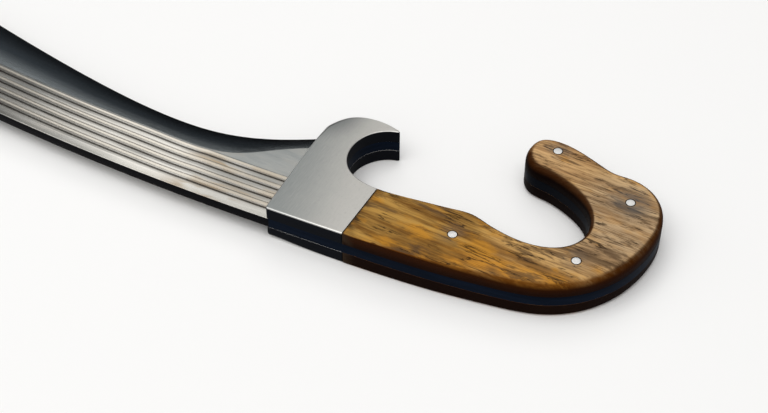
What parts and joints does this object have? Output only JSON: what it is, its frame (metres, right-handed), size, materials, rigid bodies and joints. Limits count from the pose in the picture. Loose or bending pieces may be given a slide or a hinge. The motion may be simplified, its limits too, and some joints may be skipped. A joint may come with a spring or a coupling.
{
  "type": "short sword",
  "caption": "Forward-curved single-edged short sword: grooved steel blade with full tang, hooked steel guard plates, pinned wooden grip scales ending in a hooked pommel",
  "frame": {"origin": "on the outer face of the lower guard plate, which the hilt rests on, in the middle of the plate", "axes": "+X from the blade towards the pommel, +Y from the spine towards the cutting edge, +Z square to the flat of the blade"},
  "size_m": [0.681, 0.1348, 0.0175],
  "materials": {
    "blade_steel": "satin ground flats and grooves with faint tan oil stain, darker polished bevel",
    "guard_steel": "fine satin, broken edges",
    "grip_wood": "oiled open-grained hardwood, golden brown with dark streaks",
    "pin_steel": "filed flush, bright"
  },
  "bodies": {
    "root": {"blade_and_tang": "blade_steel", "upper_guard_plate": "guard_steel", "lower_guard_plate": "guard_steel", "upper_grip_scale": "grip_wood", "lower_grip_scale": "grip_wood", "front_grip_pin": "pin_steel", "heel_grip_pin": "pin_steel", "crown_grip_pin": "pin_steel", "beak_grip_pin": "pin_steel", "spine_guard_pin": "guard_steel", "grip_guard_pin": "guard_steel", "hook_guard_pin": "guard_steel"}
  },
  "joints": []
}
